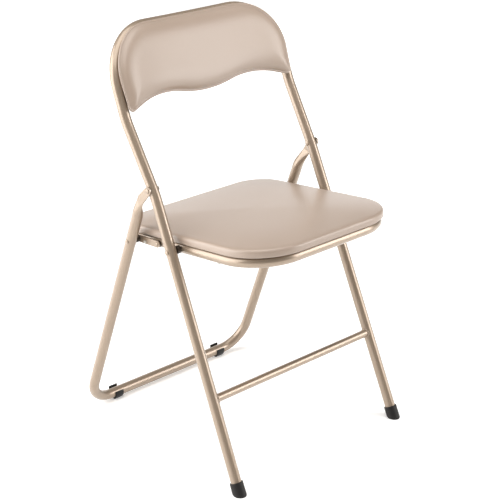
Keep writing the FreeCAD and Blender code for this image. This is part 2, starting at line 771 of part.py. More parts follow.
# ---------------------------------------------------------------- backrest
# Local frame of the backrest: x across, y up along the tubes, z forward, origin on the top bar's line.
BACK_PLACE = FreeCAD.Placement(FreeCAD.Matrix(1, 0, 0, top_centre.x, 0, top_up.y, top_normal.y, top_centre.y,
                                              0, top_up.z, top_normal.z, top_centre.z, 0, 0, 0, 1))


def bowed_slab(name, first, second):
    """A slab bent across the chair, between two distances in front of the bowed back surface."""
    radius = size("back_radius")
    centre_z = size("back_centre_set") + radius
    edge_angle = math.asin(230.0 / radius)

    def arc(distance):
        r = radius - distance
        ends = [Vec(s * r * math.sin(edge_angle), 0, centre_z - r * math.cos(edge_angle)) for s in (-1, 1)]
        return ends[0], Vec(0, 0, centre_z - r), ends[1]

    low = arc(first)
    high = arc(second)
    wire = Part.Wire([Part.Arc(*low).toShape(), Part.makeLine(low[2], high[2]),
                      Part.Arc(high[2], high[1], high[0]).toShape(), Part.makeLine(high[0], low[0])])
    slab = Part.Face(wire).extrude(Vec(0, 260, 0))
    slab.translate(Vec(0, -220, 0))
    return shape_object(name, slab)


def back_outline(inset):
    """The backrest's outline: round shoulders, pointed lower corners and a wavy lower edge."""
    half = size("back_half_width") - inset
    top = size("back_top") - inset
    radius = size("back_corner_radius") - inset
    corner_mid = radius * (1 - math.sqrt(0.5))
    tip_x = half - size("back_tip_inset")
    tip_y = inset - size("back_tip_drop")
    centre_low = inset - size("back_centre_drop")
    arch_x = size("back_arch_across")
    arch_y = inset - size("back_arch_drop")
    turn_x = size("back_turn_across")
    turn_y = inset - size("back_turn_drop")
    lobe_x = size("back_lobe_across")
    lobe_y = inset - size("back_lobe_drop")

    def side(sign):
        def p(x, y):
            return Vec(sign * x, y, 0)
        return [
            Part.Arc(p(half - radius, top), p(half - corner_mid, top - corner_mid), p(half, top - radius)),
            Part.LineSegment(p(half, top - radius), p(half - 2.5, tip_y + 14)),
            Part.Arc(p(half - 2.5, tip_y + 14), p(half - 5.5, tip_y + 3), p(tip_x, tip_y + 0.5)),
            Part.LineSegment(p(tip_x, tip_y + 0.5), p(lobe_x, lobe_y)),
            Part.Arc(p(lobe_x, lobe_y), p(arch_x, arch_y), p(turn_x, turn_y)),
        ]

    right = side(1)
    left = side(-1)
    bottom = Part.Arc(Vec(turn_x, turn_y, 0), Vec(0, centre_low, 0), Vec(-turn_x, turn_y, 0))
    top_line = Part.LineSegment(Vec(-half + radius, top, 0), Vec(half - radius, top, 0))
    return [top_line] + right + [bottom] + left


def back_blank(name, inset):
    """A tall prism of the backrest's outline, in its local frame."""
    body = new_body(name)
    sketch = new_sketch(body, name + "_outline", "XY_Plane")
    for edge in back_outline(inset):
        sketch.addGeometry(edge, False)
    pad(body, sketch, "80")
    body.Placement.Base = Vec(0, 0, -30)
    return body


def common(name, base, tool):
    obj = doc.addObject("Part::Common", name)
    obj.Base = base
    obj.Tool = tool
    return obj


bracket_spots = [Vec(side * size(f"{row}_bracket_across"), -size(f"{row}_bracket_drop"), 0)
                 for row in ("side", "top") for side in (-1, 1)]


def back_surface_z(x):
    """How far the back panel's rear face stands forward at a distance from the middle."""
    radius = size("back_radius")
    return size("back_centre_set") + radius - math.sqrt(radius * radius - x * x)


def back_drill(name):
    """Four screw holes through the panel and the brackets."""
    return fuse(name, [rod(f"{name}_{i}", Vec(spot.x, spot.y, -30), Z_AXIS, screw_hole_expression, "46")
                       for i, spot in enumerate(bracket_spots)])


panel_slab = bowed_slab("panel_slab", 0, size("back_panel_thickness"))
cushion_slab = bowed_slab("cushion_slab", 0.2, size("back_cushion_thickness"))
recess_slab = bowed_slab("recess_slab", -5, size("back_panel_thickness") + 0.1)
panel_blank = common("panel_blank", back_blank("panel_outline", size("back_wrap")), panel_slab)
panel = cut("panel", panel_blank, back_drill("panel_drills"))
panel.Placement = BACK_PLACE
keep("back_panel", panel)

cushion_blank = common("cushion_blank", back_blank("back_cushion_outline", 0), cushion_slab)
recess = common("recess", back_blank("recess_outline", size("back_wrap") - 0.1), recess_slab)
back_cushion = cut("back_pad", cushion_blank, recess)
back_cushion.Placement = BACK_PLACE
keep("back_cushion", back_cushion)


TOP_BRACKET_TUCK = 8.0


def bracket_back_z(spot):
    """The rear face of a bracket that lies close behind the bowed panel."""
    half = size("bracket_width") / 2
    nearest = min(back_surface_z(abs(spot.x) + step) for step in (-half, 0, half))
    return nearest - 0.15 - size("bracket_thickness")


def back_bracket(index, spot):
    """A small steel tab, welded to the tube and screwed to the panel."""
    reach = size("bracket_reach")
    width = size("bracket_width")
    tuck = size("bracket_tuck")
    plate = doc.addObject("Part::Box", f"bracket_plate_{index}")
    plate.setExpression("Height", "Sizes.bracket_thickness")
    plate.Placement.Base.z = bracket_back_z(spot)
    if abs(spot.x) == size("side_bracket_across"):
        plate.Length = reach
        plate.Width = width
        plate.Placement.Base.x = spot.x - (tuck if spot.x > 0 else reach - tuck)
        plate.Placement.Base.y = spot.y - width / 2
    else:
        plate.Length = width
        plate.Width = reach
        plate.Placement.Base.x = spot.x - width / 2
        plate.Placement.Base.y = spot.y - TOP_BRACKET_TUCK
    return plate


def back_screw(index, spot):
    """A pan-head screw from behind, through the bracket into the panel."""
    plate_back = bracket_back_z(spot)
    end_z = back_surface_z(spot.x) + size("back_panel_thickness")
    head = rod(f"back_screw_head_{index}", Vec(spot.x, spot.y, plate_back - size("screw_head_height")),
               Z_AXIS, "Sizes.screw_head_radius", "Sizes.screw_head_height")
    shank = rod(f"back_screw_shank_{index}", Vec(spot.x, spot.y, plate_back - 1), Z_AXIS,
                "Sizes.screw_radius", str(end_z - plate_back + 0.5))
    return fuse(f"back_screw_{index}", [head, shank])


bracket_set = fuse("bracket_set", [back_bracket(i, spot) for i, spot in enumerate(bracket_spots)])
brackets_drilled = cut("brackets_drilled", bracket_set, back_drill("bracket_drills"))
brackets_drilled.Placement = BACK_PLACE
keep("back_brackets", cut("brackets_coped", brackets_drilled, front_rod))
back_screws = compound("back_screw_set", [back_screw(i, spot) for i, spot in enumerate(bracket_spots)])
back_screws.Placement = BACK_PLACE
keep("back_screws", back_screws)

# ---------------------------------------------------------------- check and export
doc.recompute()
for obj in doc.Objects:
    if "Invalid" in obj.State or "Error" in obj.State:
        raise RuntimeError(f"{obj.Name} failed: {obj.State}")
total = FreeCAD.BoundBox()
for name, obj in NODES.items():
    shape = obj.Shape
    if shape.isNull() or not shape.isValid() or not shape.Solids:
        raise RuntimeError(f"{name} has no valid solid")
    total.add(shape.BoundBox)
    print(f"{name}: {len(shape.Solids)} solids, {shape.Volume / 1000:.1f} cm3")
    shape.exportStep(f"parts/{name}.step")
print("box", [round(v, 2) for v in (total.XMin, total.XMax, total.YMin, total.YMax, total.ZMin, total.ZMax)])
for name, point in (("frame_pivot", frame_pivot), ("seat_pivot", seat_pivot),
                    ("link_rear_pivot", link_rear_pivot), ("link_seat_pivot", link_seat_pivot)):
    print(name, [round(v, 3) for v in point])
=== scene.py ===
import json
import math
import bmesh
import bpy
from mathutils import Matrix, Vector
from mathutils.kdtree import KDTree


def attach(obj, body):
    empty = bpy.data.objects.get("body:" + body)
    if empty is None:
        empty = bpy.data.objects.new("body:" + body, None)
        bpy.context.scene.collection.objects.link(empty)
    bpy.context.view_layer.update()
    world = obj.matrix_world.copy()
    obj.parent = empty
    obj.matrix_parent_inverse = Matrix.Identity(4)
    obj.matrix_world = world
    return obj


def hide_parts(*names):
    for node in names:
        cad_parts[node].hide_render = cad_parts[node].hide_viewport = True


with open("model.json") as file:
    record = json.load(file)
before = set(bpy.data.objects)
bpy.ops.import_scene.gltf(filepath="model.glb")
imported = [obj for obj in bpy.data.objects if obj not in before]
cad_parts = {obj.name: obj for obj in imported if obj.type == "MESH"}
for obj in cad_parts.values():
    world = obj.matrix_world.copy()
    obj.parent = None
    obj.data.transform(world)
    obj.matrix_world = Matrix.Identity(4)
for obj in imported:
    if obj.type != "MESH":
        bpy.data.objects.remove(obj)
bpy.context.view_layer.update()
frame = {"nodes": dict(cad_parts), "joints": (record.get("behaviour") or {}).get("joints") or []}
cad_nodes = frame["nodes"]
joints = {joint["name"]: joint for joint in frame["joints"]}
scene = bpy.context.scene


# ---------------------------------------------------------------- studio
# A pale floor that glows a little more away from the chair, soft panels overhead and all along
# the left, narrower ones at the front right and low behind, and a dim room.
# The chair stands as it is sold: unfolded, turned three quarters, seen from a little above.
camera = bpy.data.objects.new("camera", bpy.data.cameras.new("camera"))
scene.collection.objects.link(camera)
scene.camera = camera
camera.data.lens = 100.28
camera.data.sensor_width = 36.0
camera_turn = math.radians(-43.312)
camera_rise = math.radians(22.258)
camera_distance = 2.6016
camera_aim = Vector((-0.00435, -0.02445, 0.3588))
towards_camera = Vector((math.sin(camera_turn) * math.cos(camera_rise),
                         -math.cos(camera_turn) * math.cos(camera_rise),
                         math.sin(camera_rise)))
camera.location = camera_aim + towards_camera * camera_distance
camera.rotation_mode = "QUATERNION"
camera.rotation_quaternion = (-towards_camera).to_track_quat("-Z", "Y")
scene.view_settings.view_transform = "Standard"
scene.view_settings.look = "None"


panel_target = Vector((0, 0, 0.4))


def soft_panel(name, azimuth, rise, distance, width, height, power, colour):
    """A softbox on a stand, placed round the seat and turned to face it."""
    turn, lift = math.radians(azimuth), math.radians(rise)
    away = Vector((math.sin(turn) * math.cos(lift), -math.cos(turn) * math.cos(lift), math.sin(lift)))
    lamp = bpy.data.lights.new(name, "AREA")
    lamp.shape = "RECTANGLE"
    lamp.size, lamp.size_y = width, height
    lamp.energy = power
    lamp.color = colour
    panel = bpy.data.objects.new(name, lamp)
    scene.collection.objects.link(panel)
    panel.location = panel_target + away * distance
    panel.rotation_mode = "QUATERNION"
    panel.rotation_quaternion = (-away).to_track_quat("-Z", "Y")


soft_panel("overhead_panel", -60, 80, 2.6, 3.0, 3.0, 84.0, (1.0, 0.985, 0.965))
soft_panel("left_panel", -125, 20, 2.6, 3.0, 2.6, 106.0, (1.0, 0.99, 0.98))
soft_panel("right_panel", 41, 18, 2.8, 1.3, 1.8, 52.0, (1.0, 0.98, 0.96))
soft_panel("rear_panel", 137, 8, 3.6, 3.4, 0.9, 16.0, (1.0, 0.99, 0.985))

world = bpy.data.worlds.new("dim_room")
scene.world = world
world.use_nodes = True
room = world.node_tree.nodes["Background"]
room.inputs["Color"].default_value = (1.0, 0.99, 0.975, 1)
room.inputs["Strength"].default_value = 0.15


def add_node(tree, kind, inputs=None, **settings):
    """Add a node, set its properties, and set or link its inputs."""
    made = tree.nodes.new(kind)
    for key, value in settings.items():
        setattr(made, key, value)
    for key, value in (inputs or {}).items():
        if isinstance(value, bpy.types.NodeSocket):
            tree.links.new(value, made.inputs[key])
        else:
            made.inputs[key].default_value = value
    return made


def start_material(name, **constants):
    """A material with a Principled shader whose even qualities sit on its own sockets."""
    material = bpy.data.materials.new(name)
    material.use_nodes = True
    tree = material.node_tree
    shader = tree.nodes["Principled BSDF"]
    for key, value in constants.items():
        shader.inputs[key.replace("_", " ")].default_value = value
    place = add_node(tree, "ShaderNodeTexCoord").outputs["Object"]
    return material, tree, shader, place


def mottled(tree, place, scale, detail, dark, light):
    """A colour that drifts between two close tones."""
    cloud = add_node(tree, "ShaderNodeTexNoise", {"Vector": place, "Scale": scale, "Detail": detail})
    return add_node(tree, "ShaderNodeMix", {0: cloud.outputs["Fac"], 6: (*dark, 1), 7: (*light, 1)},
                    data_type="RGBA").outputs[2]


def spread(tree, value, low, high):
    """Stretch a 0 to 1 value over a range."""
    return add_node(tree, "ShaderNodeMapRange",
                    {"Value": value, "To Min": low, "To Max": high}).outputs["Result"]


def bump(tree, height, strength, distance, under=None):
    """A bump from a height, over another bump where one is given."""
    inputs = {"Height": height, "Strength": strength, "Distance": distance}
    if under is not None:
        inputs["Normal"] = under
    return add_node(tree, "ShaderNodeBump", inputs).outputs["Normal"]


floor_mesh = bpy.data.meshes.new("studio_floor")
floor_reach = 14.0
floor_mesh.from_pydata([(-floor_reach, -floor_reach, 0), (floor_reach, -floor_reach, 0),
                        (floor_reach, floor_reach, 0), (-floor_reach, floor_reach, 0)], [], [(0, 1, 2, 3)])
studio_floor = bpy.data.objects.new("studio_floor", floor_mesh)
scene.collection.objects.link(studio_floor)
floor_paint, floor_tree, floor_shader, floor_place = start_material("floor_paint", Roughness=0.75)
floor_shader.inputs["Emission Color"].default_value = (1, 1, 0.995, 1)
floor_distance = add_node(floor_tree, "ShaderNodeVectorMath", {0: floor_place}, operation="LENGTH")
floor_glow = add_node(floor_tree, "ShaderNodeMapRange",
                      {"Value": floor_distance.outputs["Value"], "From Min": 0.9, "From Max": 3.2,
                       "To Min": 0.26, "To Max": 0.72})
floor_tree.links.new(floor_glow.outputs["Result"], floor_shader.inputs["Emission Strength"])
floor_tree.links.new(mottled(floor_tree, floor_place, 3.0, 2.0, (0.93, 0.93, 0.925), (0.95, 0.95, 0.945)),
                     floor_shader.inputs["Base Color"])
floor_mesh.materials.append(floor_paint)


# ---------------------------------------------------------------- enamelled steel tube
# Both bent frames, the crossbar, the seat ring, the links, the back panel and its brackets are
# mild steel, powder coated in one champagne metallic with a faint orange-peel skin.
def champagne_enamel(name, dark, light):
    material, tree, shader, place = start_material(
        name, Metallic=0.45, Coat_Weight=0.6, Coat_Roughness=0.15)
    tone = mottled(tree, place, 9.0, 3.0, dark, light)
    flake_cells = add_node(tree, "ShaderNodeTexVoronoi", {"Vector": place, "Scale": 2400.0})
    flake_tone = spread(tree, flake_cells.outputs["Color"], 0.9, 1.08)
    sparkle = add_node(tree, "ShaderNodeMix", {0: 1.0, 6: tone, 7: flake_tone},
                       data_type="RGBA", blend_type="MULTIPLY")
    tree.links.new(sparkle.outputs[2], shader.inputs["Base Color"])
    haze = add_node(tree, "ShaderNodeTexNoise", {"Vector": place, "Scale": 55.0, "Detail": 4.0})
    tree.links.new(spread(tree, haze.outputs["Fac"], 0.27, 0.4), shader.inputs["Roughness"])
    peel = add_node(tree, "ShaderNodeTexNoise", {"Vector": place, "Scale": 480.0, "Detail": 2.0})
    tree.links.new(bump(tree, peel.outputs["Fac"], 0.12, 0.0004), shader.inputs["Normal"])
    return material


enamel = champagne_enamel("champagne_enamel", (0.315, 0.241, 0.177), (0.355, 0.273, 0.203))


def coat(node, material):
    """Give a CAD node its finish."""
    mesh = cad_nodes[node].data
    mesh.materials.clear()
    mesh.materials.append(material)


for steel_node in ("front_frame", "front_crossbar", "rear_frame", "seat_rim", "link_strap_left",
                   "link_strap_right", "back_panel", "back_brackets"):
    coat(steel_node, enamel)


# ---------------------------------------------------------------- dark plastic and rubber
# Brown nylon spacers keep the tubes and links apart; the glides are black nylon and the feet
# black rubber.
def dark_moulding(name, dark, light, rough_low, rough_high):
    material, tree, shader, place = start_material(name, Specular_IOR_Level=0.3)
    tree.links.new(mottled(tree, place, 60.0, 4.0, dark, light), shader.inputs["Base Color"])
    grit = add_node(tree, "ShaderNodeTexNoise", {"Vector": place, "Scale": 900.0, "Detail": 3.0})
    tree.links.new(spread(tree, grit.outputs["Fac"], rough_low, rough_high), shader.inputs["Roughness"])
    tree.links.new(bump(tree, grit.outputs["Fac"], 0.25, 0.0003), shader.inputs["Normal"])
    return material


nylon = dark_moulding("brown_nylon", (0.030, 0.021, 0.015), (0.048, 0.035, 0.025), 0.30, 0.45)
glide_nylon = dark_moulding("black_nylon", (0.006, 0.006, 0.006), (0.012, 0.011, 0.011), 0.32, 0.46)
rubber = dark_moulding("black_rubber", (0.007, 0.006, 0.006), (0.014, 0.012, 0.011), 0.42, 0.62)
for nylon_node in ("seat_pivot_spacers", "link_spacers", "link_seat_washers"):
    coat(nylon_node, nylon)


# ---------------------------------------------------------------- zinc washers and stops
# Bright zinc plate covers the screws, the thin washers at the frame pivots and the links' stops.
def zinc_plate():
    material, tree, shader, place = start_material("zinc_plate", Metallic=1.0)
    tree.links.new(mottled(tree, place, 300.0, 3.0, (0.55, 0.54, 0.50), (0.68, 0.67, 0.63)),
                   shader.inputs["Base Color"])
    rub = add_node(tree, "ShaderNodeTexNoise", {"Vector": place, "Scale": 700.0, "Detail": 4.0})
    tree.links.new(spread(tree, rub.outputs["Fac"], 0.28, 0.45), shader.inputs["Roughness"])
    return material


zinc = zinc_plate()
for zinc_node in ("frame_pivot_washers", "link_stop_left", "link_stop_right"):
    coat(zinc_node, zinc)


# ---------------------------------------------------------------- seat board
# Tempered hardboard, smooth brown with pressed fibres, seen only from underneath.
def hardboard():
    material, tree, shader, place = start_material("hardboard")
    tree.links.new(mottled(tree, place, 90.0, 8.0, (0.10, 0.056, 0.032), (0.19, 0.115, 0.068)),
                   shader.inputs["Base Color"])
    fibre = add_node(tree, "ShaderNodeTexNoise", {"Vector": place, "Scale": 650.0, "Detail": 6.0})
    tree.links.new(spread(tree, fibre.outputs["Fac"], 0.55, 0.8), shader.inputs["Roughness"])
    tree.links.new(bump(tree, fibre.outputs["Fac"], 0.3, 0.0005), shader.inputs["Normal"])
    return material


coat("seat_board", hardboard())


# ---------------------------------------------------------------- seat pad
# A sheet of foam on the board under one piece of champagne vinyl, pulled tight over a rounded
# edge and turned under. It crowns a little in the middle.
def champagne_vinyl(name, dark, light):
    material, tree, shader, place = start_material(
        name, Sheen_Weight=0.12, Sheen_Roughness=0.4, Coat_Weight=0.45, Coat_Roughness=0.3)
    shader.inputs["Sheen Tint"].default_value = (1.0, 0.93, 0.87, 1)
    tree.links.new(mottled(tree, place, 7.0, 4.0, dark, light), shader.inputs["Base Color"])
    pebble = add_node(tree, "ShaderNodeTexVoronoi", {"Vector": place, "Scale": 850.0, "Smoothness": 0.6},
                      feature="SMOOTH_F1")
    pore = add_node(tree, "ShaderNodeTexNoise", {"Vector": place, "Scale": 2100.0, "Detail": 3.0})
    tree.links.new(spread(tree, pore.outputs["Fac"], 0.34, 0.48), shader.inputs["Roughness"])
    fine = bump(tree, pore.outputs["Fac"], 0.12, 0.0003)
    tree.links.new(bump(tree, pebble.outputs["Distance"], 0.28, 0.0005, fine), shader.inputs["Normal"])
    return material


vinyl = champagne_vinyl("champagne_vinyl", (0.315, 0.241, 0.191), (0.345, 0.267, 0.212))


def wall_outline(node, to_local, level, count):
    """A CAD node's outline where its wall crosses a level of a local frame, as evenly spaced points."""
    cutter = bmesh.new()
    cutter.from_mesh(cad_nodes[node].data)
    for vertex in cutter.verts:
        vertex.co = to_local(vertex.co)
    bmesh.ops.remove_doubles(cutter, verts=cutter.verts, dist=2e-5)
    found = bmesh.ops.bisect_plane(cutter, geom=cutter.verts[:] + cutter.edges[:] + cutter.faces[:],
                                   plane_co=(0, 0, level), plane_no=(0, 0, 1),
                                   clear_inner=True, clear_outer=True)
    rims = {item for item in found["geom_cut"] if isinstance(item, bmesh.types.BMVert)}
    loops = []
    while rims:
        loop = [max(rims, key=lambda v: v.co.x)]
        rims.discard(loop[0])
        while True:
            onward = [e.other_vert(loop[-1]) for e in loop[-1].link_edges]
            onward = [v for v in onward if v in rims]
            if not onward:
                break
            loop.append(onward[0])
            rims.discard(onward[0])
        loops.append([Vector((v.co.x, v.co.y, 0)) for v in loop])
    cutter.free()
    longest = max(loops, key=lambda points: sum((b - a).length for a, b in zip(points, points[1:])))
    return even_points(longest, count)


def even_points(loop, count):
    """Space points evenly round a closed loop, anticlockwise."""
    area = sum(a.x * b.y - b.x * a.y for a, b in zip(loop, loop[1:] + loop[:1]))
    if area < 0:
        loop = loop[::-1]
    reach = [0.0]
    for a, b in zip(loop, loop[1:] + loop[:1]):
        reach.append(reach[-1] + (b - a).length)
    placed, index = [], 0
    for step in range(count):
        goal = reach[-1] * step / count
        while reach[index + 1] < goal:
            index += 1
        share = (goal - reach[index]) / (reach[index + 1] - reach[index])
        placed.append(loop[index].lerp(loop[(index + 1) % len(loop)], share))
    return placed


def soften(points, rounds):
    """Even out the small corners of a closed line."""
    for _ in range(rounds):
        points = [points[i] * 0.5 + (points[i - 1] + points[(i + 1) % len(points)]) * 0.25
                  for i in range(len(points))]
    return points


def inward_normals(points):
    """Unit vectors that point into an anticlockwise outline."""
    count = len(points)
    normals = []
    for i in range(count):
        along = points[(i + 1) % count] - points[i - 1]
        normals.append(Vector((-along.y, along.x, 0)).normalized())
    return soften(normals, 3)


def pad_shell(name, outline, edge_profile, inner_rings, crown_height, floor_height, to_world):
    """A closed pad: its edge follows (inset, height) points, its top rises with the inset."""
    tree = KDTree(len(outline))
    for index, point in enumerate(outline):
        tree.insert(point, index)
    tree.balance()
    normals = inward_normals(outline)
    middle = sum(outline, Vector()) / len(outline)
    rings = [[p + n * inset + Vector((0, 0, height)) for p, n in zip(outline, normals)]
             for inset, height in edge_profile]
    for share in inner_rings:
        ring = []
        for point in rings[len(edge_profile) - 1]:
            spot = Vector((point.x, point.y, 0)).lerp(middle, share)
            ring.append(spot + Vector((0, 0, crown_height(tree.find(spot)[2]))))
        rings.append(ring)
    under = [[Vector((point.x, point.y, 0)).lerp(middle, share) + Vector((0, 0, floor_height))
              for point in rings[0]] for share in (0.92, 0.7, 0.4)]
    shell = bmesh.new()
    loops = [[shell.verts.new(to_world(p)) for p in ring] for ring in under[::-1] + rings]
    for low, high in zip(loops, loops[1:]):
        for i in range(len(low)):
            j = (i + 1) % len(low)
            shell.faces.new((low[i], low[j], high[j], high[i]))
    top = shell.verts.new(to_world(middle + Vector((0, 0, crown_height(tree.find(middle)[2])))))
    base = shell.verts.new(to_world(middle + Vector((0, 0, floor_height))))
    for i in range(len(outline)):
        j = (i + 1) % len(outline)
        shell.faces.new((loops[-1][i], loops[-1][j], top))
        shell.faces.new((loops[0][j], loops[0][i], base))
    bmesh.ops.recalc_face_normals(shell, faces=shell.faces)
    mesh = bpy.data.meshes.new(name)
    shell.to_mesh(mesh)
    shell.free()
    piece = bpy.data.objects.new(name, mesh)
    scene.collection.objects.link(piece)
    return piece


def bake_modifiers(piece):
    """Turn what a piece's modifiers make into its plain mesh."""
    graph = bpy.context.evaluated_depsgraph_get()
    mesh = bpy.data.meshes.new_from_object(piece.evaluated_get(graph))
    piece.modifiers.clear()
    old = piece.data
    piece.data = mesh
    bpy.data.meshes.remove(old)
    mesh.name = piece.name


def puff(piece, held, pressure, cap):
    """Blow the cover up a little with its held points fixed, and limit how far any point goes."""
    start = [v.co.copy() for v in piece.data.vertices]
    group = piece.vertex_groups.new(name="held")
    group.add(held, 1.0, "ADD")
    cloth = piece.modifiers.new("vinyl", "CLOTH")
    cloth.settings.quality = 5
    cloth.settings.mass = 0.35
    cloth.settings.tension_stiffness = 25
    cloth.settings.compression_stiffness = 25
    cloth.settings.shear_stiffness = 12
    cloth.settings.bending_stiffness = 2.5
    cloth.settings.vertex_group_mass = "held"
    cloth.settings.use_pressure = True
    cloth.settings.uniform_pressure_force = pressure
    cloth.settings.effector_weights.gravity = 0
    cloth.collision_settings.use_collision = False
    cloth_frames = 20
    for step in range(1, cloth_frames + 1):
        scene.frame_set(step)
    bake_modifiers(piece)
    scene.frame_set(1)
    for vertex, old in zip(piece.data.vertices, start):
        moved = vertex.co - old
        if moved.length > 1e-9:
            vertex.co = old + moved.normalized() * cap * math.tanh(moved.length / cap)
    piece.vertex_groups.clear()


def finish_pad(piece, rounds):
    """Relax the cover a little and shade it smooth."""
    relax = piece.modifiers.new("relax", "SMOOTH")
    relax.factor = 0.4
    relax.iterations = rounds
    bake_modifiers(piece)
    piece.data.shade_smooth()
    piece.data.materials.clear()
    piece.data.materials.append(vinyl)


seat_pivot = Vector(joints["seat_fold"]["pos_m"])
seat_tilt = math.radians(5.9)
seat_place = Matrix.Translation(seat_pivot) @ Matrix.Rotation(-seat_tilt, 4, "X")
seat_place_back = seat_place.inverted()


def quarter(reach, height, steps, first, last):
    """Points of (inset, height) on a quarter round; 0 is the upright end and 1 the level one."""
    turns = [math.pi / 2 * (first + (last - first) * step / steps) for step in range(steps + 1)]
    return [(reach * (1 - math.cos(turn)), height + reach * math.sin(turn)) for turn in turns]


def tucked_edge(tuck, bottom):
    """The lower round of a pad's edge, from underneath up to its widest line."""
    turns = [math.pi / 2 * step / 4 for step in range(5)]
    return [(tuck * (1 - math.sin(turn)), bottom + tuck * (1 - math.cos(turn))) for turn in turns]


def rounded_outline(half, front, rear, front_radius, rear_radius, count):
    """A rectangle with round corners, as evenly spaced points."""
    corners = ((half, rear, rear_radius, 0), (-half, rear, rear_radius, 90),
               (-half, front, front_radius, 180), (half, front, front_radius, 270))
    loop = []
    for x, y, radius, start in corners:
        centre = Vector((x - math.copysign(radius, x), y - math.copysign(radius, y), 0))
        for step in range(61):
            turn = math.radians(start + 1.5 * step)
            loop.append(centre + radius * Vector((math.cos(turn), math.sin(turn), 0)))
    return even_points(loop, count)


def make_seat_pad():
    cad_points = [seat_place_back @ v.co for v in cad_nodes["seat_cushion"].data.vertices]
    half = max(point.x for point in cad_points)
    front, rear = min(point.y for point in cad_points), max(point.y for point in cad_points)
    bottom, top = min(point.z for point in cad_points), max(point.z for point in cad_points)
    front_radius, rear_radius = 0.095, 0.062
    outline = soften(rounded_outline(half, front, rear, front_radius, rear_radius, 420), 6)
    tuck, round_over, crown = 0.0026, 0.0066, 0.0050
    edge = [(0.0095, bottom + 0.0022), (0.0088, bottom + 0.0004), (0.0060, bottom)]
    edge += tucked_edge(tuck, bottom)
    shoulder = top - round_over - 0.0006
    edge += quarter(round_over, shoulder, 8, 0, 0.86)[1:]
    last_inset, last_height = edge[-1]

    def crown_height(inset):
        run = max(0.0, inset - last_inset)
        return last_height + 0.0008 * (1 - math.exp(-run / 0.004)) + crown * (1 - math.exp(-run / 0.06))

    rings = [1 - (1 - i / 34) ** 1.25 for i in range(1, 34)]
    pad = pad_shell("seat_pad", outline, edge, rings, crown_height, bottom + 0.0022,
                    lambda p: seat_place @ p)
    held = [v.index for v in pad.data.vertices
            if (seat_place_back @ v.co).z < last_height + 0.0001]
    puff(pad, held, 4.0, 0.0030)
    finish_pad(pad, 1)
    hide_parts("seat_cushion")
    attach(pad, "seat")


make_seat_pad()


# ---------------------------------------------------------------- back pad
# Foam on a bowed steel panel under the same vinyl, wrapped round the panel's edge. The foam is
# full in the middle and thins towards the edge, so the pad reads as one long soft dome.
top_lean = math.radians(20.82)
back_place = (Matrix.Translation((0, 0.14126, 0.77597)) @
              Matrix.Rotation(math.pi / 2 - top_lean, 4, "X"))
back_place_back = back_place.inverted()
bow_radius = 1.1
panel_rear = -0.0052


def bow_height(x):
    """How far the panel's rear face stands forward at a distance from the middle."""
    return panel_rear + bow_radius - math.sqrt(bow_radius ** 2 - x ** 2)


def unbowed(point):
    """A point in the back's local frame, measured from the bowed panel."""
    spot = back_place_back @ point
    spot.z -= bow_height(spot.x)
    return spot


def bowed(spot):
    return back_place @ Vector((spot.x, spot.y, spot.z + bow_height(spot.x)))


def make_back_pad():
    outline = soften(wall_outline("back_cushion", unbowed, 0.010, 420), 3)
    wrap = 0.0022
    edge = [(0.0034, 0.0020), (0.0032, 0.0), (0.0022, -0.0002)]
    edge += tucked_edge(wrap, -0.0002)
    bead_top, bead_inset, groove = 0.0042, 0.0036, 0.0003
    edge += quarter(wrap, bead_top - wrap, 5, 0, 1)[1:]
    edge.append((bead_inset, bead_top - groove))
    full_height, dome_run = 0.0172, 0.040

    def crown_height(inset):
        rise = min(1.0, max(0.0, inset - bead_inset) / dome_run)
        swell = math.sqrt(1 - (1 - rise) ** 2.2)
        return bead_top - groove + (full_height - bead_top) * swell

    rings = [1 - (1 - i / 46) ** 1.3 for i in range(1, 46)]
    pad = pad_shell("back_pad", outline, edge, rings, crown_height, 0.0020, bowed)
    held = [v.index for v in pad.data.vertices if unbowed(v.co).z < 0.0045]
    puff(pad, held, 3.0, 0.0025)
    finish_pad(pad, 2)
    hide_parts("back_cushion")
    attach(pad, "front")


make_back_pad()


# ---------------------------------------------------------------- rivets
# Solid steel rivets are set before the enamel: a shank with a low dome on both ends. They are
# the pivots of the frame, the seat and the links; at the link's seat end only one head shows.
def lathe_mesh(name, profile, steps):
    """Turn a profile of (distance along, radius) round Z into a closed mesh; its ends have radius 0."""
    shell = bmesh.new()
    rings = [[shell.verts.new((radius * math.cos(2 * math.pi * i / steps),
                               radius * math.sin(2 * math.pi * i / steps), along)) for i in range(steps)]
             for along, radius in profile[1:-1]]
    first = shell.verts.new((0, 0, profile[0][0]))
    last = shell.verts.new((0, 0, profile[-1][0]))
    for i in range(steps):
        j = (i + 1) % steps
        for low, high in zip(rings, rings[1:]):
            shell.faces.new((low[i], low[j], high[j], high[i]))
        shell.faces.new((first, rings[0][j], rings[0][i]))
        shell.faces.new((last, rings[-1][i], rings[-1][j]))
    bmesh.ops.recalc_face_normals(shell, faces=shell.faces)
    mesh = bpy.data.meshes.new(name)
    shell.to_mesh(mesh)
    shell.free()
    return mesh


def new_tree(name, kinds):
    """A Geometry Nodes tree with these named inputs, and its group input node."""
    tree = bpy.data.node_groups.new(name, "GeometryNodeTree")
    for label, kind in kinds.items():
        tree.interface.new_socket(label, in_out="INPUT", socket_type="NodeSocket" + kind)
    tree.interface.new_socket("Geometry", in_out="OUTPUT", socket_type="NodeSocketGeometry")
    return tree, tree.nodes.new("NodeGroupInput").outputs


def end_tree(tree, geometry, finish):
    """End a tree in plain geometry with its material set."""
    real = add_node(tree, "GeometryNodeRealizeInstances", {"Geometry": geometry})
    finished = add_node(tree, "GeometryNodeSetMaterial", {"Geometry": real.outputs[0], "Material": finish})
    add_node(tree, "NodeGroupOutput", {"Geometry": finished.outputs[0]})
    return tree


